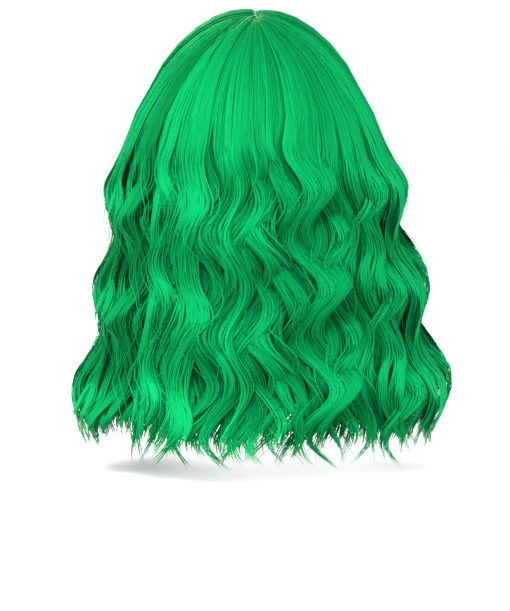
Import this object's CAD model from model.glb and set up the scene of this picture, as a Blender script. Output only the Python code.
import bpy
import math
import numpy as np
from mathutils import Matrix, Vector


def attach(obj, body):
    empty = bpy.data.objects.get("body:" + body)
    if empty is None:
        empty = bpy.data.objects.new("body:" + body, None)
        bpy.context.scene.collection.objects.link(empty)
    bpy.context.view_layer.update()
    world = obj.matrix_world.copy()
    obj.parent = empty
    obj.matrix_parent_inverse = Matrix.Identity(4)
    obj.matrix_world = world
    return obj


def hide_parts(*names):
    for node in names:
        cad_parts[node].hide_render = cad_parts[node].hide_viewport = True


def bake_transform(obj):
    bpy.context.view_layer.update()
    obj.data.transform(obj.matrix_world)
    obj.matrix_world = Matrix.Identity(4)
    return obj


# A shoulder-length costume wig: straight smooth hair over the crown that falls into loose waves.
# Shapes below are worked out in millimetres and turned into metres when a mesh is made.

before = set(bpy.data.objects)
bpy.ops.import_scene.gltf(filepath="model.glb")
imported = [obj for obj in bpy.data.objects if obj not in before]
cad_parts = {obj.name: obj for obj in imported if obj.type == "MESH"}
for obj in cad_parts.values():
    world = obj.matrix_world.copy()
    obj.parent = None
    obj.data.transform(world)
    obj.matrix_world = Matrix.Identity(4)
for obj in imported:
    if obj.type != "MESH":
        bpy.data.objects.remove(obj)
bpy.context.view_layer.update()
MM = 0.001
dice = np.random.default_rng(14)

# ---------------------------------------------------------------- hair outline
# Height above the hat line, half width, depth behind and in front of the hair's middle, and how
# far the middle leans to the wearer's right.
OUTLINE = np.array([
    (-262, 141, 126, 115, 0.0),
    (-244, 144, 128, 118, 1.0),
    (-210, 147, 128, 119, 4.0),
    (-180, 143, 125, 117, 6.5),
    (-140, 132, 122, 116, 6.0),
    (-100, 125, 120, 116, 4.5),
    (-60, 117.5, 119, 117, 2.5),
    (-34, 114, 118, 118, 1.0),
    (-15, 109.5, 117.5, 117.5, 0.0),
    (0, 104, 116.5, 116.5, 0.0),
])
# Over the dome: height, and how full it is to the side and to the back, against an ellipsoid.
DOME = np.array([
    (0, 1.03, 1.005), (14, 0.985, 0.995), (24, 0.955, 0.985), (33, 0.925, 0.97), (43, 0.9, 0.955),
    (62, 0.89, 0.945), (81, 0.875, 0.94), (93, 0.87, 0.94), (107, 0.9, 0.94),
])
DOME_WIDTH = 101.0                  # half width of the hair at the hat line
DOME_DEPTH = 116.0
DOME_HEIGHT = 106.0
MIDDLE = 4.0                        # how far behind the head's centre the hair's middle lies
CAP_SIZE = (80.2, 100.2, 103.2)     # the surface that the roots are sewn to
CROWN_POINT = 48.0                  # where the parting starts, and where its front end is
PARTING_FRONT = -72.0
FAN = 80.0                          # degrees either side of the back that fan from the crown point
SPAN = 143.0                        # degrees at which the parting's front end is reached
HAIR_RADIUS = 115.0                 # turns a distance along the surface into a turn
WAVE = 78.0                         # length of one wave of the hair


def outer_shape(z):
    """Half width, depth behind, depth in front and sideways lean at each height."""
    level = np.clip(z / DOME_HEIGHT, 0, 1)
    round_off = np.sqrt(np.clip(1 - level ** 2, 0, 1))
    high = z > 0
    width = np.where(
        high,
        DOME_WIDTH * round_off * np.interp(z, DOME[:, 0], DOME[:, 1]),
        np.interp(z, OUTLINE[:, 0], OUTLINE[:, 1]),
    )
    deep = DOME_DEPTH * round_off * np.interp(z, DOME[:, 0], DOME[:, 2])
    back = np.where(high, deep, np.interp(z, OUTLINE[:, 0], OUTLINE[:, 2]))
    front = np.where(high, deep, np.interp(z, OUTLINE[:, 0], OUTLINE[:, 3]))
    lean = np.where(high, 0.0, -np.interp(z, OUTLINE[:, 0], OUTLINE[:, 4]))
    return width, back, front, lean


def smooth(x):
    """Goes from 0 to 1 with a soft start and a soft end."""
    x = np.clip(x, 0, 1)
    return x * x * (3 - 2 * x)


def over_the_dome(turn, root_x, root_y, steps):
    """Height, turn and distance from the root of strands combed from the parting to the ears."""
    t = np.linspace(0, 1, steps, endpoint=False)[None, :] ** 1.7
    rx = root_x / DOME_WIDTH
    ry = (root_y - MIDDLE) / DOME_DEPTH
    rz = np.sqrt(np.clip(1 - rx ** 2 - ry ** 2, 0.01, 1))
    root = np.stack([rx, ry, rz], 1)
    land = np.stack([np.sin(turn), np.cos(turn), np.zeros(len(turn))], 1)
    angle = np.arccos(np.clip((root * land).sum(1), -0.999, 0.999))[:, None]
    a = np.sin((1 - t) * angle) / np.sin(angle)
    b = np.sin(t * angle) / np.sin(angle)
    q = a[..., None] * root[:, None, :] + b[..., None] * land[:, None, :]
    q[..., 0] *= 1 + 0.45 * np.sin(np.pi * t) * (1 - np.abs(np.sin(turn[:, None])) * 0.6)
    q /= np.linalg.norm(q, axis=2, keepdims=True)
    return DOME_HEIGHT * q[..., 2], np.arctan2(q[..., 0], q[..., 1]), t * angle * 105


def place(z, turned, lift, inward, across):
    """Points at each height and turn, pushed inward and moved across along the surface."""
    width, back, front, lean = outer_shape(z)
    depth = np.where(np.cos(turned) > 0, back, front)
    flat = np.clip(z / DOME_HEIGHT, 0, 1)
    radius = np.hypot(width * np.sin(turned), depth * np.cos(turned))
    turned = turned + across / np.maximum(radius, 30)
    level = np.sqrt(1 - flat ** 2)
    out = np.stack([np.sin(turned) * level, np.cos(turned) * level, flat], -1)
    point = np.stack([width * np.sin(turned) + lean, MIDDLE + depth * np.cos(turned), z], -1)
    cap = 1 / np.sqrt(((point / np.array(CAP_SIZE)) ** 2).sum(-1))
    seat = point * cap[..., None]
    point = point - out * inward[..., None]
    return seat + (point - seat) * lift[..., None], out


# ---------------------------------------------------------------- shaping by hand
def edit_all(piece):
    """Goes to edit mode on this piece alone, with all of it selected."""
    bpy.ops.object.select_all(action="DESELECT")
    piece.select_set(True)
    bpy.context.view_layer.objects.active = piece
    bpy.ops.object.mode_set(mode="EDIT")
    bpy.ops.mesh.select_mode(type="VERT")
    bpy.ops.mesh.select_all(action="SELECT")


def turn_outwards(piece):
    """Points every face of a closed piece outwards and leaves edit mode."""
    edit_all(piece)
    bpy.ops.mesh.normals_make_consistent(inside=False)
    bpy.ops.object.mode_set(mode="OBJECT")


def extrude_up(distance):
    """Extrudes what is selected straight up."""
    bpy.ops.mesh.extrude_region_move(TRANSFORM_OT_translate={"value": (0, 0, distance)})


def take_apart(piece):
    """The points and faces of a piece that is only a model for copies, and is then removed."""
    points = np.array([point.co for point in piece.data.vertices])
    faces = [np.array(face.vertices) for face in piece.data.polygons]
    bpy.data.objects.remove(piece)
    return points, faces


def copies(name, faces, points, material):
    """One piece that holds many copies of a model, each with its own points in millimetres."""
    count, per_copy, _ = points.shape
    corners = (np.arange(count)[:, None] * per_copy + np.concatenate(faces)).ravel()
    sizes = np.tile([len(face) for face in faces], count)
    mesh = bpy.data.meshes.new(name)
    mesh.vertices.add(count * per_copy)
    mesh.vertices.foreach_set("co", (points.reshape(-1, 3) * MM).astype(np.float32).ravel())
    mesh.loops.add(len(corners))
    mesh.loops.foreach_set("vertex_index", corners.astype(np.int32))
    mesh.polygons.add(len(sizes))
    mesh.polygons.foreach_set("loop_start", np.append(0, np.cumsum(sizes)[:-1]).astype(np.int32))
    mesh.polygons.foreach_set("use_smooth", np.ones(len(sizes), bool))
    mesh.update(calc_edges=True)
    piece = bpy.data.objects.new(name, mesh)
    bpy.context.collection.objects.link(piece)
    mesh.materials.append(material)
    return piece


def mark_points(piece, values_by_name):
    """Gives every point of a piece its own numbers, which the materials read."""
    for name, values in values_by_name.items():
        layer = piece.data.attributes.new(name, "FLOAT", "POINT")
        layer.data.foreach_set("value", np.asarray(values).astype(np.float32).ravel())


# ---------------------------------------------------------------- fibres
RIDGE = 0.26        # how far a fibre's ridge stands out, against its half width
FLAT_SIDE = 0.10    # how far its flat side lies in
TIP = 3             # the number given to the point at a fibre's tip
FIBRE_MODELS = {}


def fibre_model(steps):
    """A fibre standing on its root: a triangle extruded step by step and closed to a point.

    Gives its faces, and for each point its step along the fibre and its corner: the ridge is 0,
    and 1 and 2 are the two edges beside it."""
    if steps not in FIBRE_MODELS:
        bpy.ops.object.select_all(action="DESELECT")
        bpy.ops.mesh.primitive_circle_add(
            vertices=3, radius=1, fill_type="NGON", location=(0, 0, 0))
        fibre = bpy.context.object
        edit_all(fibre)
        for _ in range(steps - 1):
            extrude_up(1)
        bpy.ops.mesh.merge(type="CENTER")
        bpy.ops.object.mode_set(mode="OBJECT")
        turn_outwards(fibre)
        points, faces = take_apart(fibre)
        step = np.rint(points[:, 2]).astype(int)
        corner = np.where(points[:, 1] > 0.5, 0, np.where(points[:, 0] < 0, 1, 2))
        corner[step == steps - 1] = TIP
        FIBRE_MODELS[steps] = faces, step, corner
    return FIBRE_MODELS[steps]


def strand_mesh(name, paths, out, half_width, tone, material):
    """A piece made of fibres, each laid along its own path and tapering to a point at its tip."""
    count, steps, _ = paths.shape
    faces, step, corner = fibre_model(steps)
    along = np.gradient(paths, axis=1)
    along /= np.linalg.norm(along, axis=2, keepdims=True) + 1e-9
    out = out - along * (out * along).sum(2, keepdims=True)
    out /= np.linalg.norm(out, axis=2, keepdims=True) + 1e-9
    side = np.cross(along, out)
    w = half_width[..., None]
    around = np.stack([
        paths + out * w * RIDGE,
        paths - out * w * FLAT_SIDE + side * w,
        paths - out * w * FLAT_SIDE - side * w,
        paths,
    ], 2)
    piece = copies(name, faces, around[:, step, corner], material)
    # Each fibre is shaded as a rounded one, and its flat underside the other way round.
    facing = np.stack([out, out * 0.8 + side * 0.6, out * 0.8 - side * 0.6, out], 2)
    facing = facing[:, step, corner][:, np.concatenate(faces)]
    under = np.concatenate([np.full(len(face), not (corner[face] == 0).any()) for face in faces])
    facing[:, under] *= -1
    piece.data.normals_split_custom_set(facing.reshape(-1, 3).tolist())
    length = np.linalg.norm(np.diff(paths, axis=1), axis=2).cumsum(1)
    length = np.concatenate([np.zeros((count, 1)), length], 1)
    mark_points(piece, {
        "tone": tone[:, step],
        "run": length[:, step] * MM,
        "towards_tip": length[:, step] / length[:, -1:],
        "across": np.array([0.0, 1.0, -1.0, 0.0])[corner] + np.arange(count)[:, None] * 7.31,
    })
    return piece


# ---------------------------------------------------------------- materials
def new_material(name):
    material = bpy.data.materials.new(name)
    material.use_nodes = True
    nodes = material.node_tree.nodes
    return material, nodes, material.node_tree.links, nodes["Principled BSDF"]


def attribute(nodes, name):
    node = nodes.new("ShaderNodeAttribute")
    node.attribute_name = name
    return node.outputs["Fac"]


def ramp(nodes, links, factor, stops):
    node = nodes.new("ShaderNodeValToRGB")
    elements = node.color_ramp.elements
    elements[0].position, elements[0].color = stops[0][0], (*stops[0][1], 1)
    elements[1].position, elements[1].color = stops[-1][0], (*stops[-1][1], 1)
    for position, colour in stops[1:-1]:
        elements.new(position).color = (*colour, 1)
    links.new(factor, node.inputs["Fac"])
    return node.outputs["Color"]


def multiply(nodes, links, one, other):
    node = nodes.new("ShaderNodeMix")
    node.data_type = "RGBA"
    node.blend_type = "MULTIPLY"
    node.inputs["Factor"].default_value = 1
    links.new(one, node.inputs[6])
    links.new(other, node.inputs[7])
    return node.outputs[2]


def hair_material():
    """Green synthetic fibre: a tone for each strand, fine lengthwise streaks and a soft gloss."""
    material, nodes, links, body = new_material("green_hair_fibre")
    tone = ramp(nodes, links, attribute(nodes, "tone"), [
        (0.0, (0.0006, 0.068, 0.017)), (0.5, (0.0009, 0.138, 0.037)),
        (1.0, (0.0013, 0.218, 0.065))])
    length = ramp(nodes, links, attribute(nodes, "towards_tip"), [
        (0.0, (0.8, 0.8, 0.8)), (0.28, (1.05, 1.05, 1.05)), (0.62, (0.78, 0.78, 0.74)),
        (0.85, (0.95, 0.95, 0.93)), (1.0, (1.15, 1.15, 1.1))])
    grain = nodes.new("ShaderNodeCombineXYZ")
    links.new(attribute(nodes, "across"), grain.inputs["X"])
    links.new(attribute(nodes, "run"), grain.inputs["Y"])
    streak = nodes.new("ShaderNodeTexNoise")
    streak.inputs["Scale"].default_value = 3.0
    streak.inputs["Detail"].default_value = 4
    links.new(grain.outputs["Vector"], streak.inputs["Vector"])
    fine = ramp(nodes, links, streak.outputs["Fac"], [(0.3, (0.88,) * 3), (0.7, (1.08,) * 3)])
    colour = multiply(nodes, links, multiply(nodes, links, tone, length), fine)
    links.new(colour, body.inputs["Base Color"])
    body.inputs["Roughness"].default_value = 0.45
    body.inputs["Metallic"].default_value = 0.15
    body.inputs["Specular IOR Level"].default_value = 0.01
    body.inputs["Specular Tint"].default_value = (0.05, 1.0, 0.4, 1)
    bump = nodes.new("ShaderNodeBump")
    bump.inputs["Strength"].default_value = 0.15
    bump.inputs["Distance"].default_value = 0.0002
    links.new(streak.outputs["Fac"], bump.inputs["Height"])
    links.new(bump.outputs["Normal"], body.inputs["Normal"])
    return material


HAIR = hair_material()


# ---------------------------------------------------------------- locks of hair
def strands(middle, u, wide, fall, depth, wisp_depth, root, wave, phase, swing, own, own_swing,
            roll, flick, lay, shade, arch=3.4, fine=(0.46, 0.78), gathered=0.95, scatter=2.5):
    """Paths, outward directions, half widths and tones of strands, one row for each strand.

    Every value is one number or one per strand. The root is "parting", "crown", "tracks" or
    "hairline". wide is the width of the wisp that u runs across, and fall the height of the tip.
    The wave has a length, a phase and a swing, and own gives each strand its own share of it."""
    n = len(u)
    turn = middle + u * wide / 2 / HAIR_RADIUS
    column = lambda value: np.broadcast_to(np.asarray(value, float), (n,))[:, None]
    degrees = np.degrees(np.abs(turn))
    side = np.where(middle < 0, -1.0, 1.0)
    if root == "tracks":
        over = 0
        down = 24
        z_top = column(dice.uniform(-38, 42, n) * 0.25 + dice.uniform(-30, 36))[:, 0]
        z_over = turn_over = run = np.zeros((n, 0))
    else:
        over, down = {"parting": (10, 46), "crown": (10, 14), "hairline": (13, 12)}[root]
        z_top = np.zeros(n)
        if root != "hairline":
            share = np.clip((degrees - FAN) / (SPAN - FAN), 0, 1)
            root_y = CROWN_POINT + (PARTING_FRONT - CROWN_POINT) * share
            root_y = root_y + dice.normal(0, scatter, n)
            beside = side * (0.3 + np.abs(dice.normal(0, 0.7, n)))
            fanned = np.degrees(turn) / FAN * 2.5 + dice.normal(0, 0.9, n)
            root_x = np.where(share > 0, beside, fanned)
        else:
            inner = np.clip((180 - degrees) / 36, 0, 1)
            root_y = -78 + 7 * inner + dice.normal(0, 3.0, n)
            root_x = side * (0.3 + 13 * inner * dice.uniform(0.1, 1, n))
        z_over, turn_over, run = over_the_dome(turn, root_x, root_y, over)
    s = np.linspace(0, 1, down)[None, :]
    z = np.concatenate([z_over, z_top[:, None] + s * (fall - z_top)[:, None]], 1)
    turned = np.concatenate([turn_over, np.repeat(turn[:, None], down, 1)], 1)
    if root == "tracks":
        lift = smooth((z_top[:, None] - z) / 45.0)
        near_root = 0.0
    else:
        lift = np.concatenate([smooth(run / 4.0), np.ones((n, down))], 1)
        near_root = np.concatenate([1 - smooth(run / 26.0), np.zeros((n, down))], 1)
    wave_begins = 30 if root != "hairline" else 0
    grow = smooth((wave_begins - z) / 90)
    psi = 2 * np.pi * (20 - z) / column(wave) + column(phase) + column(own)
    sway = column(swing) * column(own_swing) * grow * np.sin(psi)
    late = 1.3 * np.cos(middle) * np.sin(5.3 * middle + 0.8) - 1.45 * np.clip(-np.sin(middle), 0, 1)
    swell_phase = 0.9 * column(phase) + column(own) + column(late)
    swell = grow * np.cos(2 * np.pi * (z + 43) / WAVE + swell_phase)
    bulge = 0.75 * column(swing) * column(own_swing) * swell
    near_tip = 1 - np.clip((z - fall[:, None]) / (62 if root != "hairline" else 34), 0, 1)
    gather = 0.25 * smooth((10 - z) / 80) + 0.12 * grow * np.cos(2 * psi)
    gather = gather + (gathered - gather) * near_tip ** 1.3
    roll_now = (0.4 * np.sin(psi + 1.2) + column(roll)) * grow
    flat_u = column(u * wide / 2)
    v = column(lay) * 0.5 - arch * column(u ** 2) * grow
    spread = flat_u * (1 - gather)
    new_u = spread * np.cos(roll_now) - v * np.sin(roll_now)
    new_v = spread * np.sin(roll_now) + v * np.cos(roll_now)
    loose = column(dice.normal(0, 0.8, n)) * np.sin(
        2 * np.pi * z / column(dice.uniform(45, 120, n)) + column(dice.uniform(0, 6.3, n)))
    low = smooth((25 - z) / 50)
    across = sway + (new_u - flat_u) * low + loose * low + column(flick) * near_tip ** 3
    on_dome = (column(depth) * 0.25 + 0.6 + column(wisp_depth) * 0.2 + column(lay) * 0.5
               + near_root * 1.4)
    hanging = column(depth) + column(wisp_depth) - bulge - new_v - 2.0 * near_tip ** 2
    inward = np.maximum(on_dome * (1 - low) + hanging * low, -7)
    paths, out = place(z, turned, lift, inward, across)
    steps = z.shape[1]
    grade = np.interp(np.arange(steps), [0, 4, 12, steps - 8, steps - 1], [0.5, 0.8, 1, 1, 0.25])
    half_width = column(dice.uniform(*fine, n)) * grade[None, :]
    return paths, out, half_width, np.clip(column(shade) + 0.24 * swell, 0, 1)


def wave_at(middle):
    """How far round the head the wave has turned, so that neighbouring locks run side by side."""
    return 0.9 * math.sin(2.3 * middle + 0.6) + 0.7 * math.sin(5.7 * middle + 1.9)


def lock(middle, wisps, fibres, depth, tip, root, phase, swing, wave, tone):
    """One lock: several wisps side by side that share a wave and gather to tips."""
    places = middle + np.radians(np.linspace(-2.8, 2.8, wisps) + dice.normal(0, 0.9, wisps))
    which = np.repeat(np.arange(wisps), fibres)
    n = len(which)
    per_wisp = lambda low, high: dice.uniform(low, high, wisps)[which]
    normal = lambda spread: dice.normal(0, spread, wisps)[which]
    u = np.tile(np.linspace(-1, 1, fibres), wisps) + dice.normal(0, 0.06, n)
    fall = tip + per_wisp(-8, 12) + np.abs(dice.normal(0, 3.5, n)) + 17 * u ** 2
    return strands(
        middle=places[which], u=u, wide=per_wisp(9, 18), fall=fall, depth=depth,
        wisp_depth=normal(2.4), root=root, wave=wave, phase=phase, swing=swing,
        own=normal(0.22) + dice.normal(0, 0.06, n),
        own_swing=1 + normal(0.1) + dice.normal(0, 0.05, n),
        roll=normal(0.25), flick=normal(6) + dice.normal(0, 1.2, n), lay=dice.uniform(-1, 1, n),
        shade=tone + normal(0.10) + dice.normal(0, 0.07, n))


def row_of_locks(count, reach, wisps, fibres, depth, tip, root, tone, step=0.0):
    """Locks right round the head, from one side of the face to the other."""
    made = []
    middles = np.radians(np.linspace(-reach, reach, count) + dice.normal(0, 1.3, count))
    for number, middle in enumerate(middles):
        made.append((middle, lock(
            middle, wisps, fibres, depth + step * (number % 2) + dice.normal(0, 1.0),
            tip + dice.uniform(-5, 5), root,
            phase=wave_at(middle) + dice.uniform(-1.0, 1.0),
            swing=dice.uniform(6, 11), wave=WAVE * dice.uniform(0.93, 1.1),
            tone=tone + dice.normal(0, 0.09))))
    return made


def stray_strands(count, reach, root, depth, tip, fine=(0.3, 0.45)):
    """Single strands that wander off on their own between and outside the locks."""
    made = []
    for middle in np.radians(dice.uniform(-reach, reach, count)):
        one = np.zeros(1)
        made.append((middle, strands(
            middle=one + middle, u=one, wide=one + 1, fall=one + tip + dice.uniform(-8, 40),
            depth=depth + dice.uniform(-4, 3), wisp_depth=0, root=root,
            wave=WAVE * dice.uniform(0.92, 1.1), phase=wave_at(middle) + dice.uniform(-0.9, 0.9),
            swing=dice.uniform(7, 13), own=0, own_swing=1, roll=0, flick=dice.normal(0, 8),
            lay=0, shade=dice.uniform(0.35, 0.8), fine=fine)))
    return made


def backing(count, reach, depth, tip):
    """Broad flat strands close to the cap that close the gaps behind the locks."""
    made = []
    for middle in np.radians(np.linspace(-reach, reach, count)):
        u = np.linspace(-1, 1, 3)
        made.append((middle, strands(
            middle=middle + 0 * u, u=u, wide=4.0 + 0 * u, fall=tip + dice.uniform(-4, 10, 3),
            depth=depth + dice.uniform(-1.5, 1.5), wisp_depth=0, root="tracks",
            wave=WAVE, phase=wave_at(middle) + dice.uniform(-0.1, 0.1), swing=dice.uniform(7, 8),
            own=0, own_swing=1, roll=0, flick=dice.normal(0, 0.5), lay=0,
            shade=dice.uniform(0.05, 0.3), arch=0, fine=(1.6, 2.1), gathered=0.2)))
    return made


def dome_filler(count, reach):
    """Broad short strands under the crown hair, so that the net doesn't show through it."""
    made = []
    one = np.zeros(1)
    for middle in np.radians(np.linspace(-reach, reach, count)):
        made.append((middle, strands(
            middle=one + middle, u=one, wide=one + 1, fall=one - 40, depth=9, wisp_depth=0,
            root="crown", wave=WAVE, phase=wave_at(middle), swing=2, own=0, own_swing=1, roll=0,
            flick=0, lay=0, shade=dice.uniform(0.3, 0.55), arch=0, fine=(1.4, 1.9), scatter=0.5)))
    return made


def joined(groups):
    """Paths, outward directions, half widths and tones of several groups of strands as one."""
    return [np.concatenate(part) for part in zip(*groups)]


def between(made, low, high):
    """The strands whose turn from the back lies between two angles."""
    return joined([data for middle, data in made if low <= math.degrees(middle) < high])


# Each layer goes right round the head, and each zone of it bends with one curtain. Zones give the
# turns from the back, in degrees, and the body.
LAYERS = {
    "outer": row_of_locks(42, 138, 3, 20, 1.0, -235.5, "parting", 0.56, step=3.0)
    + stray_strands(110, 140, "parting", 1.0, -234),
    "under": row_of_locks(38, 137, 3, 16, 8.0, -236, "tracks", 0.40) + dome_filler(330, 139.5),
    "inner": row_of_locks(30, 135, 2, 16, 14.0, -234, "tracks", 0.28)
    + backing(190, 136, 17.5, -229),
}

ZONES = {
    "back_left": (18, 54, "back_curtain"), "back_centre": (-18, 18, "back_curtain"),
    "back_right": (-54, -18, "back_curtain"), "left_side": (54, 98, "left_curtain"),
    "left_front": (98, 150, "left_curtain"), "right_side": (-98, -54, "right_curtain"),
    "right_front": (-150, -98, "right_curtain"),
}
CROWN_HAIR = {
    "back_centre": ["back_crown_hair"], "left_side": ["left_crown_hair"],
    "right_side": ["right_crown_hair"],
}


for zone, (low, high, body) in ZONES.items():
    for layer, made in LAYERS.items():
        piece = strand_mesh(f"{zone}_{layer}_locks", *between(made, low, high), HAIR)
        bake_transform(piece)
        if layer == "outer":
            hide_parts(f"{zone}_outer_hair", *CROWN_HAIR.get(zone, ()))
        elif layer == "inner":
            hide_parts(f"{zone}_inner_hair")

# ---------------------------------------------------------------- fringe
def fringe_wisp(middle):
    """A light wisp from the hairline that gathers to a tip over the forehead."""
    fibres = 15
    u = np.linspace(-1, 1, fibres) + dice.normal(0, 0.08, fibres)
    fall = -35 + dice.uniform(-6, 9) + np.abs(dice.normal(0, 3, fibres)) + 9 * u ** 2
    return strands(
        middle=middle + 0 * u, u=u, wide=dice.uniform(8, 13) + 0 * u, fall=fall,
        depth=dice.uniform(0.5, 3.0), wisp_depth=0, root="hairline", wave=90,
        phase=dice.uniform(-1, 1), swing=dice.uniform(2, 4), own=dice.normal(0, 0.1, fibres),
        own_swing=1, roll=dice.normal(0, 0.2), flick=dice.normal(0, 3),
        lay=dice.uniform(-1, 1, fibres),
        shade=0.5 + dice.normal(0, 0.08) + dice.normal(0, 0.1, fibres), arch=1.5,
        fine=(0.36, 0.55), gathered=0.9)


def fringe_filler(middle):
    """A broad short strand behind the wisps."""
    one = np.zeros(1)
    return strands(
        middle=one + middle, u=one, wide=one + 1, fall=one - 26 + dice.uniform(-5, 3), depth=5.0,
        wisp_depth=0, root="hairline", wave=90, phase=0, swing=1.5, own=0, own_swing=1, roll=0,
        flick=0, lay=0, shade=dice.uniform(0.25, 0.5), arch=0, fine=(1.1, 1.5))


for side, sign in (("left", 1), ("right", -1)):
    wisps = [fringe_wisp(sign * math.radians(turn)) for turn in np.linspace(147, 179.3, 13)]
    wisps += [fringe_filler(sign * math.radians(turn)) for turn in np.linspace(144, 179.7, 44)]
    piece = strand_mesh(f"{side}_fringe_wisps", *joined(wisps), HAIR)
    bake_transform(piece)
    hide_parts(f"{side}_fringe")

# ---------------------------------------------------------------- cap materials
def weave_height(nodes, links, style, pitch):
    """A height that repeats with the threads: along the piece, across it, or slanting."""
    def wave(name, scale, other=None, slant=0.0):
        value = attribute(nodes, name)
        if other:
            shift = nodes.new("ShaderNodeMath")
            shift.operation = "MULTIPLY_ADD"
            links.new(attribute(nodes, other), shift.inputs[0])
            shift.inputs[1].default_value = slant
            links.new(value, shift.inputs[2])
            value = shift.outputs[0]
        times = nodes.new("ShaderNodeMath")
        times.operation = "MULTIPLY"
        links.new(value, times.inputs[0])
        times.inputs[1].default_value = 2 * math.pi / scale
        sine = nodes.new("ShaderNodeMath")
        sine.operation = "SINE"
        links.new(times.outputs[0], sine.inputs[0])
        return sine.outputs[0]

    if style == "satin":
        height = wave("along", pitch, "up", 1.0)
    elif style == "elastic":
        height = wave("up", pitch)
    else:
        both = nodes.new("ShaderNodeMath")
        both.operation = "MULTIPLY"
        links.new(wave("along", pitch), both.inputs[0])
        links.new(wave("up", pitch), both.inputs[1])
        height = both.outputs[0]
    lifted = nodes.new("ShaderNodeMath")
    lifted.operation = "MULTIPLY_ADD"
    links.new(height, lifted.inputs[0])
    lifted.inputs[1].default_value = 0.5
    lifted.inputs[2].default_value = 0.5
    return lifted.outputs[0]


def noise(nodes, links, scale, detail=3.0):
    where = nodes.new("ShaderNodeTexCoord")
    node = nodes.new("ShaderNodeTexNoise")
    node.inputs["Scale"].default_value = scale
    node.inputs["Detail"].default_value = detail
    links.new(where.outputs["Object"], node.inputs["Vector"])
    return node.outputs["Fac"]


def cloth_material(name, dark, light, style, pitch, roughness, sheen, depth=0.00012):
    """Woven cloth: threads at their real pitch, uneven dye, and rough and smooth patches."""
    material, nodes, links, body = new_material(name)
    height = weave_height(nodes, links, style, pitch)
    threads = ramp(nodes, links, height, [(0.15, dark), (0.75, light)])
    uneven = ramp(nodes, links, noise(nodes, links, 90), [(0.3, (0.75,) * 3), (0.7, (1.15,) * 3)])
    links.new(multiply(nodes, links, threads, uneven), body.inputs["Base Color"])
    rough = ramp(nodes, links, noise(nodes, links, 260), [
        (0.3, (roughness - 0.1,) * 3), (0.7, (roughness + 0.1,) * 3)])
    links.new(rough, body.inputs["Roughness"])
    body.inputs["Sheen Weight"].default_value = sheen
    body.inputs["Specular IOR Level"].default_value = 0.35
    bump = nodes.new("ShaderNodeBump")
    bump.inputs["Strength"].default_value = 0.6
    bump.inputs["Distance"].default_value = depth
    links.new(height, bump.inputs["Height"])
    links.new(bump.outputs["Normal"], body.inputs["Normal"])
    return material


def grained_material(name, stops, scale, roughness, grain, depth, dots=None):
    """Plastic, scalp or thread: mottled colour, roughness that varies and a fine grain."""
    material, nodes, links, body = new_material(name)
    colour = ramp(nodes, links, noise(nodes, links, scale, 5.0), stops)
    if dots:
        where = nodes.new("ShaderNodeTexCoord")
        cells = nodes.new("ShaderNodeTexVoronoi")
        cells.inputs["Scale"].default_value = dots
        links.new(where.outputs["Object"], cells.inputs["Vector"])
        holes = ramp(nodes, links, cells.outputs["Distance"], [
            (0.0, (0.10, 0.16, 0.10)), (0.16, (0.45, 0.5, 0.42)), (0.24, (1.0, 1.0, 1.0))])
        colour = multiply(nodes, links, colour, holes)
    links.new(colour, body.inputs["Base Color"])
    rough = ramp(nodes, links, noise(nodes, links, scale * 2.3), [
        (0.3, (roughness - 0.08,) * 3), (0.7, (roughness + 0.1,) * 3)])
    links.new(rough, body.inputs["Roughness"])
    bump = nodes.new("ShaderNodeBump")
    bump.inputs["Strength"].default_value = 0.4
    bump.inputs["Distance"].default_value = depth
    links.new(noise(nodes, links, grain, 4.0), bump.inputs["Height"])
    links.new(bump.outputs["Normal"], body.inputs["Normal"])
    return material


# Cloths: dark and light colour of the threads, weave, thread pitch in metres, roughness, sheen,
# and depth of the weave where it is coarse.
SATIN = cloth_material(
    "black_satin_ribbon", (0.006,) * 3, (0.03, 0.03, 0.031), "satin", 0.0007, 0.38, 0.1)
LACE = cloth_material(
    "black_lace_ribbon", (0.002,) * 3, (0.05,) * 3, "plain", 0.0024, 0.6, 0.2, 0.0003)
WEFT = cloth_material(
    "green_weft_binding", (0.001, 0.08, 0.022), (0.004, 0.27, 0.08), "satin", 0.0011, 0.6, 0.1,
    0.0003)
TAPE = cloth_material("black_woven_tape", (0.006,) * 3, (0.04,) * 3, "plain", 0.001, 0.65, 0.2)
ELASTIC = cloth_material(
    "ribbed_black_elastic", (0.005,) * 3, (0.035,) * 3, "elastic", 0.0011, 0.6, 0.2, 0.0003)
LABEL = cloth_material(
    "white_label_weave", (0.55, 0.55, 0.52), (0.86, 0.86, 0.83), "plain", 0.0006, 0.7, 0.2, 0.00006)


def two_tone(dark, light):
    return [(0.3, dark), (0.7, light)]


# Grained finishes: colours, size of the mottling, roughness, and size and depth of the grain.
NYLON = grained_material(
    "black_net_nylon", two_tone((0.008,) * 3, (0.03,) * 3), 900, 0.5, 3000, 0.00005)
SCALP = grained_material(
    "pale_scalp_patch", two_tone((0.44, 0.34, 0.26), (0.58, 0.46, 0.37)), 120, 0.6, 1500, 0.0001,
    dots=420)
BLACK_THREAD = grained_material(
    "black_sewing_thread", two_tone((0.012,) * 3, (0.07,) * 3), 2500, 0.55, 6000, 0.00008)
GREEN_THREAD = grained_material(
    "green_sewing_thread", two_tone((0.003, 0.16, 0.05), (0.01, 0.42, 0.13)), 2500, 0.55, 6000,
    0.00008)
PALE_THREAD = grained_material(
    "pale_sewing_thread", two_tone((0.5, 0.49, 0.45), (0.8, 0.78, 0.74)), 2500, 0.55, 6000, 0.00008)
MOULDED = grained_material(
    "moulded_black_plastic", two_tone((0.010, 0.010, 0.011), (0.022, 0.022, 0.023)), 300, 0.32,
    2200, 0.00003)
COATED = grained_material(
    "coated_stay_strip", two_tone((0.02,) * 3, (0.06,) * 3), 200, 0.5, 1500, 0.00006)

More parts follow.
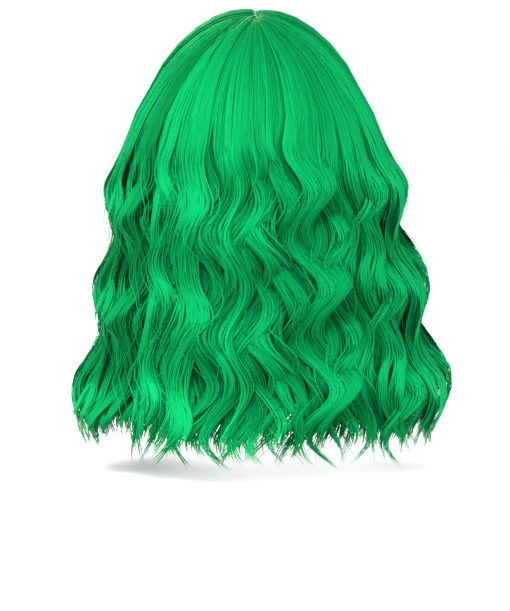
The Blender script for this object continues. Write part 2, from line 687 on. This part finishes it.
# ---------------------------------------------------------------- cap shapes
# The cap follows a head: half width, half depth and height of it, and the rim in side view.
HEAD = (78.0, 98.0, 96.0)
RIM = np.array([
    (-130, 22), (-95, 17), (-62, 3), (-22, -3), (14, -10), (40, -36), (64, -54), (130, -60),
], float)


def rim_line():
    """The rim's smooth line through its points, as heights for a list of depths."""
    knots = np.append(0, np.cumsum(np.linalg.norm(np.diff(RIM, axis=0), axis=1)))
    h = np.diff(knots)
    n = len(knots)
    system = np.eye(n)
    pull = np.zeros((n, 2))
    for i in range(1, n - 1):
        system[i, i - 1:i + 2] = h[i - 1], 2 * (h[i - 1] + h[i]), h[i]
        pull[i] = 6 * ((RIM[i + 1] - RIM[i]) / h[i] - (RIM[i] - RIM[i - 1]) / h[i - 1])
    bend = np.linalg.solve(system, pull)
    made = []
    for i in range(n - 1):
        t = np.linspace(0, h[i], 30)[:, None]
        far = h[i] - t
        made.append((bend[i] * far ** 3 + bend[i + 1] * t ** 3) / (6 * h[i])
                    + (RIM[i] / h[i] - bend[i] * h[i] / 6) * far
                    + (RIM[i + 1] / h[i] - bend[i + 1] * h[i] / 6) * t)
    return np.concatenate(made)


RIM_POINTS = rim_line()


def rim_height(y):
    return np.interp(y, RIM_POINTS[:, 0], RIM_POINTS[:, 1])


def on_cap(turn, z, off):
    """The point at a turn from the back and a height, that far outside the head."""
    a, b, c = HEAD[0] + off, HEAD[1] + off, HEAD[2] + off
    level = np.sqrt(np.clip(1 - (z / c) ** 2, 0, 1))
    r = level / np.sqrt((np.sin(turn) / a) ** 2 + (np.cos(turn) / b) ** 2)
    return np.stack([r * np.sin(turn), r * np.cos(turn), z + 0 * r], -1)


def rim_for_turn(turn):
    z = 0 * turn
    for _ in range(40):
        z = 0.5 * z + 0.5 * rim_height(on_cap(turn, z, 1.0)[..., 1])
    return z


def turn_where(y):
    """The turn at which the rim crosses a depth, on the wearer's left."""
    turns = np.linspace(0.01, math.pi - 0.01, 400)
    depths = on_cap(turns, rim_for_turn(turns), 1.0)[:, 1]
    return float(np.interp(-y, -depths, turns))


def band(start, end, height):
    def place_it(u, v, off):
        turn = start + (end - start) * u
        return on_cap(turn, rim_for_turn(turn) + height * v, off)
    return place_it


def upright(place_x, half_width, low, high):
    """A strip that runs up the back of the cap."""
    def place_it(u, v, off):
        x = place_x + half_width * (2 * v - 1)
        z = low + (high - low) * u
        a, b, c = HEAD[0] + off, HEAD[1] + off, HEAD[2] + off
        return np.stack([x, b * np.sqrt(np.clip(1 - (x / a) ** 2 - (z / c) ** 2, 0, 1)), z], -1)
    return place_it


def level_track(z, start, end):
    return lambda u, v, off: on_cap(start + (end - start) * u, z + 3 * v, off)


def arch_track(y, side):
    """A strip over the side of the cap at one depth, from above the rim to near the top."""
    def place_it(u, v, off):
        a, b, c = HEAD[0] + off, HEAD[1] + off, HEAD[2] + off
        depth = y + 3 * v
        s = np.sqrt(1 - (depth / b) ** 2)
        low = np.arcsin((rim_height(depth) + 4) / (c * s))
        high = np.arcsin(np.minimum(74 / (c * s), 0.999))
        t = low + (high - low) * u
        return np.stack([side * a * s * np.cos(t), depth + 0 * t, c * s * np.sin(t)], -1)
    return place_it


def top_patch(u, v, off):
    y = -87.7 + 139.4 * u
    x = -15.7 + 31.4 * v
    a, b, c = HEAD[0] + off, HEAD[1] + off, HEAD[2] + off
    return np.stack([x, y, c * np.sqrt(np.clip(1 - (x / a) ** 2 - (y / b) ** 2, 0, 1))], -1)


def label_place(u, v, off):
    x = -13.9 + 27.8 * u
    z = -33.9 + 19.8 * v
    a, b, c = HEAD[0] + off, HEAD[1] + off, HEAD[2] + off
    return np.stack([x, b * np.sqrt(1 - (x / a) ** 2 - (z / c) ** 2), z], -1)


def tab_place(side):
    """An ear tab, from the rim at u = 0 to its rounded end, between a front and a rear edge."""
    front = np.array([
        (-64, rim_height(-64.0) - 0.05), (-60.5, -13), (-57, -26), (-53.2, -33), (-51, -36.6)])
    rear = np.array([
        (-40, rim_height(-40.0) - 0.05), (-41.5, -13), (-43, -26), (-46.8, -33), (-49, -36.6)])
    parts = np.linspace(0, 1, 5)

    def place_it(u, v, off):
        y0, z0 = np.interp(u, parts, front[:, 0]), np.interp(u, parts, front[:, 1])
        y1, z1 = np.interp(u, parts, rear[:, 0]), np.interp(u, parts, rear[:, 1])
        y, z = y0 + (y1 - y0) * v, z0 + (z1 - z0) * v
        top = rim_height(y) - 0.05
        z = z + (top - (z0 + (z1 - z0) * v)) * np.clip(1 - u * 5, 0, 1)
        a, b, c = HEAD[0] + off, HEAD[1] + off, HEAD[2] + off
        return np.stack([side * a * np.sqrt(1 - (y / b) ** 2 - (z / c) ** 2), y, z], -1)
    return place_it


# Where a strip's lengthwise lines lie across it: closest together at its two edges.
ACROSS = np.array([0.0, 0.025, 0.075, 0.16, 0.27, 0.39, 0.5, 0.61, 0.73, 0.84, 0.925, 0.975, 1.0])


def line_length(points):
    return float(np.linalg.norm(np.diff(points, axis=0), axis=1).sum())


def sewn_strip(name, place_it, span, material, step, pucker=0.0, pitch=3.4, rows=(), fold=0.25):
    """A closed strip of cloth between two distances outside the head, thinner at its folded edges.

    A flat grid is extruded to give it two faces and then laid over the cap. It is drawn in along
    its rows of stitches and puckers a little."""
    length = line_length(place_it(np.linspace(0, 1, 200), np.full(200, 0.5), np.full(200, span[0])))
    count = max(int(length / step), 6)
    bpy.ops.object.select_all(action="DESELECT")
    bpy.ops.mesh.primitive_grid_add(
        x_subdivisions=count, y_subdivisions=len(ACROSS) - 1, size=2, location=(0, 0, 0),
        calc_uvs=False)
    piece = bpy.context.object
    piece.name = piece.data.name = name
    edit_all(piece)
    extrude_up(1)
    bpy.ops.object.mode_set(mode="OBJECT")

    flat = np.array([point.co for point in piece.data.vertices])
    u = np.linspace(0, 1, count + 1)[np.rint((flat[:, 0] + 1) / 2 * count).astype(int)]
    v = ACROSS[np.rint((flat[:, 1] + 1) / 2 * (len(ACROSS) - 1)).astype(int)]
    outer = np.where(flat[:, 2] > 0.5, 1, -1)
    middle = (span[0] + span[1]) / 2
    half = (span[1] - span[0]) / 2
    edge = np.sqrt(np.clip(1 - np.abs(2 * v - 1) ** 6, 0, 1)) * (1 - fold) + fold
    drawn = 1 - 0.35 * sum(np.exp(-((v - row) / 0.035) ** 2) for row in rows)
    near_stitches = 0.35 + sum(np.exp(-((v - row) / 0.12) ** 2) for row in rows)
    wave = pucker * np.sin(2 * np.pi * u * length / pitch) * near_stitches
    points = place_it(u, v, middle + outer * half * edge * drawn + wave)
    piece.data.vertices.foreach_set("co", (points * MM).astype(np.float32).ravel())
    piece.data.polygons.foreach_set("use_smooth", np.ones(len(piece.data.polygons), bool))
    piece.data.update()

    ends = place_it(np.array([0.5, 0.5]), np.array([0.0, 1.0]), np.array([middle, middle]))
    mark_points(piece, {"along": u * length * MM, "up": v * line_length(ends) * MM})
    piece.data.materials.append(material)
    turn_outwards(piece)
    return piece


def stitch_model():
    """One thread stitch standing on end: a four-sided rod with its ends drawn out to points."""
    bpy.ops.object.select_all(action="DESELECT")
    bpy.ops.mesh.primitive_cylinder_add(
        vertices=4, radius=1, depth=1.1, end_fill_type="TRIFAN", location=(0, 0, 0))
    stitch = bpy.context.object
    for end in (1, -1):
        edit_all(stitch)
        bpy.ops.mesh.select_all(action="DESELECT")
        bpy.ops.object.mode_set(mode="OBJECT")
        for point in stitch.data.vertices:
            point.select = math.hypot(point.co.x, point.co.y) < 0.1 and point.co.z * end > 0
        bpy.ops.object.mode_set(mode="EDIT")
        bpy.ops.transform.translate(value=(0, 0, 0.45 * end))
        bpy.ops.object.mode_set(mode="OBJECT")
    turn_outwards(stitch)
    return take_apart(stitch)


STITCH_POINTS, STITCH_FACES = stitch_model()


def stitches(name, lines, material, radius=0.17):
    """Separate thread stitches, copies of the one model, along lines of (start, end)."""
    pairs = np.concatenate(lines)
    start, end = pairs[:, 0], pairs[:, 1]
    along = end - start
    along /= np.linalg.norm(along, axis=1, keepdims=True)
    one = np.cross(along, (0.31, 0.52, 0.79))
    one /= np.linalg.norm(one, axis=1, keepdims=True)
    two = np.cross(along, one)
    x, y, z = STITCH_POINTS.T[:, None, :, None]
    points = ((start + end) / 2)[:, None] + ((end - start) / 2)[:, None] * z
    points = points + (one[:, None] * x + two[:, None] * y) * radius
    return copies(name, STITCH_FACES, points, material)


def stitch_line(place_it, v, off, spacing=3.4, part=0.72, zigzag=0.0, u0=0.01, u1=0.99):
    """Starts and ends of the stitches in one row."""
    probe = place_it(np.linspace(u0, u1, 300), np.full(300, v), np.full(300, off))
    length = np.append(0, np.cumsum(np.linalg.norm(np.diff(probe, axis=0), axis=1)))
    count = int(length[-1] / spacing)
    at = (np.arange(count) + 0.14) * spacing
    u = np.interp(np.stack([at, at + spacing * part], 1), length, np.linspace(u0, u1, 300))
    lean = np.zeros_like(u)
    if zigzag:
        turns = np.arange(count)[:, None] + np.arange(2)[None, :]
        lean = zigzag * np.where(turns % 2 == 0, 1, -1)
    return place_it(u, v + lean, np.full_like(u, off))


# ---------------------------------------------------------------- bands, ribs, patch and label
FRONT_TURN = turn_where(-40.0)
NAPE_TURN = turn_where(44.0)
SEAM = 0.0008       # half the gap between the ends of two bands, as a turn
BANDS = {
    "front_band": (FRONT_TURN, 2 * math.pi - FRONT_TURN),
    "nape_band": (-NAPE_TURN + SEAM, NAPE_TURN - SEAM),
    "left_ear_binding": (NAPE_TURN + SEAM, FRONT_TURN - SEAM),
    "right_ear_binding": (-NAPE_TURN - SEAM, -FRONT_TURN + SEAM),
}
BAND_WIDTH = 13.0
RIBBON_FACES = (0.22, 0.98)         # distances outside the head of a ribbon's two faces
INSIDE_RIBBON = 0.16                # stitches lie on the side that faces the head
rows = []
for name, (start, end) in BANDS.items():
    shape = band(start, end, BAND_WIDTH)
    piece = sewn_strip(f"{name}_satin", shape, RIBBON_FACES, SATIN, 0.85, 0.05, rows=(0.12, 0.86))
    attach(piece, "cap")
    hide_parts(name)
    rows += [stitch_line(shape, v, INSIDE_RIBBON) for v in (0.12, 0.86)]
for name, x in (("centre_rib", 0.0), ("left_rib", 34.0), ("right_rib", -34.0)):
    depth = upright(x, 4, -40, -40)(np.array([0.0]), np.array([0.5]), np.array([1.0]))[0, 1]
    shape = upright(x, 3.95, float(rim_height(depth)) + BAND_WIDTH + 0.4, 73.9)
    piece = sewn_strip(f"{name}_lace", shape, RIBBON_FACES, LACE, 0.85, 0.05, rows=(0.16, 0.84))
    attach(piece, "cap")
    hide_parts(name)
    rows += [stitch_line(shape, v, INSIDE_RIBBON) for v in (0.16, 0.84)]
piece = stitches("band_and_rib_stitches", rows, BLACK_THREAD)
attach(piece, "cap")

patch = sewn_strip(
    "parting_scalp", top_patch, (1.12, 1.88), SCALP, 1.1, 0.03, pitch=5.0, rows=(0.05, 0.95))
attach(patch, "cap")
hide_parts("parting_patch")
piece = stitches("parting_stitches", [
    stitch_line(top_patch, v, off) for v in (0.05, 0.95) for off in (1.05, 1.95)], PALE_THREAD)
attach(piece, "cap")

label = sewn_strip("blank_label", label_place, (-0.85, -0.15), LABEL, 0.7, 0.04, rows=(0.08, 0.92))
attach(label, "cap")
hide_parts("blank_size_label")
upright_edge = lambda u, v, off: label_place(v, u, off)
piece = stitches(
    "label_stitches",
    [stitch_line(label_place, v, -0.92, 2.4) for v in (0.08, 0.92)]
    + [stitch_line(upright_edge, v, -0.92, 2.4, u0=0.1, u1=0.9) for v in (0.05, 0.95)],
    PALE_THREAD, radius=0.14)
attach(piece, "cap")

# ---------------------------------------------------------------- weft tracks
def back_track(row):
    """A level track across the back, as far round as the rim and the ears leave room for it."""
    z = -47.0 + 13.0 * row
    turns = np.linspace(0, math.pi / 1.7, 500)
    depths = on_cap(turns, z + 1.5, 2.7)[:, 1]
    allowed = (z > rim_height(depths) + 2) & (depths > -12)
    end = float(turns[allowed][-1]) if allowed.all() else float(turns[np.argmin(allowed) - 1])
    return level_track(z, -end, end)


TRACKS = [("back", row, back_track(row)) for row in range(8)]
TRACKS += [
    (side, row, arch_track(-76.0 + 19.0 * row, sign))
    for row in range(3) for side, sign in (("left", 1), ("right", -1))]
rows = []
for side, row, shape in TRACKS:
    piece = sewn_strip(
        f"{side}_weft_{row + 1}", shape, (2.02, 3.38), WEFT, 1.0, 0.06, pitch=2.6, rows=(0.3, 0.7),
        fold=0.45)
    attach(piece, "cap")
    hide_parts(f"{side}_weft_track_{row + 1}")
    rows += [stitch_line(shape, 0.5, off, 2.6, 1.0, 0.3) for off in (2.0, 3.4)]
piece = stitches("weft_zigzag_stitches", rows, GREEN_THREAD, radius=0.2)
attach(piece, "cap")

# ---------------------------------------------------------------- ear tabs
for side, sign in (("left", 1), ("right", -1)):
    shape = tab_place(sign)
    body_name = f"{side}_ear_tab"
    piece = sewn_strip(
        f"{side}_tab_satin", shape, (0.25, 1.85), SATIN, 0.85, 0.04, rows=(0.09, 0.91))
    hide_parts(body_name)
    lines = stitches(f"{side}_tab_stitches", [
        stitch_line(shape, v, off, 2.8, u1=0.9) for v in (0.09, 0.91) for off in (0.16, 1.94)],
        BLACK_THREAD)
    for part in (piece, lines):
        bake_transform(part)

# ---------------------------------------------------------------- net
def hexagon_net(name, sign):
    """Open six-sided netting over one half of the cap, as one connected mesh of fine cords."""
    bpy.ops.object.select_all(action="DESELECT")
    bpy.ops.mesh.primitive_ico_sphere_add(subdivisions=6, radius=1.0, location=(0, 0, 0))
    ball = bpy.context.object
    mesh = ball.data
    corners = np.array([v.co for v in mesh.vertices])
    sides = np.array([p.vertices[:] for p in mesh.polygons])
    bpy.data.objects.remove(ball)
    middles = corners[sides].mean(1)
    middles /= np.linalg.norm(middles, axis=1, keepdims=True)
    size = np.array(HEAD) + 1.5
    heart = corners * size
    points = middles * size
    around = {}
    for face, (a, b, c) in enumerate(sides):
        for corner in (a, b, c):
            around.setdefault(corner, []).append(face)
    y, z, x = heart[:, 1], heart[:, 2], heart[:, 0]
    under_patch = (np.abs(x) < 14.6) & (y > -87) & (y < 50.6) & (z > 0)
    kept = (z > rim_height(y) + 2.2) & ~under_patch & (sign * x > 0)
    faces = []
    for corner in np.nonzero(kept)[0]:
        ring = around[corner]
        out = corners[corner]
        one = np.cross(out, (0.0, 0.0, 1.0) if abs(out[2]) < 0.9 else (1.0, 0.0, 0.0))
        one /= np.linalg.norm(one)
        two = np.cross(out, one)
        offset = middles[ring] - out
        order = np.argsort(np.arctan2(offset @ two, offset @ one))
        faces.append([int(ring[i]) for i in order])
    used = sorted({i for face in faces for i in face})
    new = {old: i for i, old in enumerate(used)}
    mesh = bpy.data.meshes.new(name)
    mesh.from_pydata((points[used] * MM).tolist(), [], [[new[i] for i in face] for face in faces])
    mesh.polygons.foreach_set("use_smooth", np.ones(len(mesh.polygons), bool))
    mesh.materials.append(NYLON)
    piece = bpy.data.objects.new(name, mesh)
    bpy.context.collection.objects.link(piece)
    turn_outwards(piece)
    cords = piece.modifiers.new("cords", "WIREFRAME")
    cords.thickness = 0.0005
    cords.use_even_offset = False
    cords.use_boundary = True
    cords.use_replace = True
    bpy.ops.object.modifier_apply(modifier="cords")
    return piece


for side, sign in (("left", 1), ("right", -1)):
    piece = hexagon_net(f"{side}_half_net", sign)
    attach(piece, "cap")
    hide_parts("crown_net")

# ---------------------------------------------------------------- nape adjusters
# The wearer's left adjuster, in metres; the right one is its mirror image.
STRAP_WAY = (-0.8914, 0.4532, 0.0)      # along the strap, from its seam to its hook
STRAP_UP = (0.2284, 0.4493, 0.8637)     # across the strap, upwards


def soft_copy(node, name, cell, material):
    """A soft piece from a copy of its CAD solid, with the solid's sharp edges rounded off."""
    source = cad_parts[node]
    piece = bpy.data.objects.new(name, source.data.copy())
    bpy.context.collection.objects.link(piece)
    piece.data.materials.clear()
    piece.data.materials.append(material)
    edit_all(piece)
    bpy.ops.mesh.remove_doubles(threshold=0.00001)
    bpy.ops.object.mode_set(mode="OBJECT")
    rounding = piece.modifiers.new("rounding", "REMESH")
    rounding.mode = "VOXEL"
    rounding.voxel_size = cell
    bpy.ops.object.modifier_apply(modifier="rounding")
    easing = piece.modifiers.new("easing", "SMOOTH")
    easing.factor = 0.5
    easing.iterations = 2
    bpy.ops.object.modifier_apply(modifier="easing")
    mesh = piece.data
    mesh.polygons.foreach_set("use_smooth", np.ones(len(mesh.polygons), bool))
    points = np.zeros(len(mesh.vertices) * 3)
    mesh.vertices.foreach_get("co", points)
    points = points.reshape(-1, 3)
    sign = 1 if node.startswith("left") else -1
    along = points @ np.array((STRAP_WAY[0] * sign, *STRAP_WAY[1:]))
    up = points @ np.array((STRAP_UP[0] * sign, *STRAP_UP[1:]))
    mark_points(piece, {"along": along, "up": up})
    return piece


for side, sign in (("left", 1), ("right", -1)):
    strap = soft_copy(f"{side}_adjuster_strap", f"{side}_elastic", 0.0003, ELASTIC)
    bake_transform(strap)
    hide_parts(f"{side}_adjuster_strap")
    loops = soft_copy(f"{side}_adjuster_loops", f"{side}_loop_ladder", 0.00035, TAPE)
    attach(loops, "cap")
    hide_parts(f"{side}_adjuster_loops")

for node, material in (("adjuster_hook", MOULDED), ("tab_stay", COATED)):
    for side in ("left", "right"):
        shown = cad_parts[f"{side}_{node}"]
        for index in range(max(len(shown.material_slots), 1)):
            if shown.material_slots:
                shown.material_slots[index].material = material
            else:
                shown.data.materials.append(material)

# ---------------------------------------------------------------- floor, lights and camera
FLOOR = -0.2575
bpy.ops.object.select_all(action="DESELECT")
bpy.ops.mesh.primitive_plane_add(size=60, location=(0, 0, FLOOR))
floor = bpy.context.object
floor.name = "floor"
floor_material, nodes, links, body = new_material("pale_floor")
body.inputs["Base Color"].default_value = (0.9, 0.9, 0.9, 1)
body.inputs["Roughness"].default_value = 0.8
body.inputs["Specular IOR Level"].default_value = 0.1
floor.data.materials.append(floor_material)

world = bpy.data.worlds.new("studio")
bpy.context.scene.world = world
world.use_nodes = True
world.node_tree.nodes["Background"].inputs["Color"].default_value = (1, 1, 1, 1)
world.node_tree.nodes["Background"].inputs["Strength"].default_value = 1.12


def soft_light(name, place, aim, size, power):
    light = bpy.data.lights.new(name, "AREA")
    light.shape = "RECTANGLE"
    light.size, light.size_y = size
    light.energy = power
    holder = bpy.data.objects.new(name, light)
    bpy.context.collection.objects.link(holder)
    holder.location = place
    holder.rotation_euler = (Vector(aim) - Vector(place)).to_track_quat("-Z", "Y").to_euler()
    return holder


soft_light("key_light", (0.45, 1.35, 1.35), (0, 0, -0.08), (1.1, 0.8), 66)
soft_light("right_light", (-1.4, 0.7, 0.3), (0, 0, -0.1), (1.0, 1.0), 26)
soft_light("left_light", (1.5, 0.9, 0.2), (0, 0, -0.1), (1.2, 1.0), 42)
soft_light("front_light", (0.3, -1.6, 0.9), (0, 0, -0.1), (1.0, 0.8), 45)

camera_data = bpy.data.cameras.new("camera")
camera_data.lens = 118
camera = bpy.data.objects.new("camera", camera_data)
bpy.context.collection.objects.link(camera)
aim = Vector((0.0, 0.0, -0.130))
tilt = math.radians(5)
camera.location = aim + Vector((0, 1.6 * math.cos(tilt), 1.6 * math.sin(tilt)))
camera.rotation_euler = (aim - camera.location).to_track_quat("-Z", "Y").to_euler()
bpy.context.scene.camera = camera
bpy.context.scene.view_settings.view_transform = "Standard"
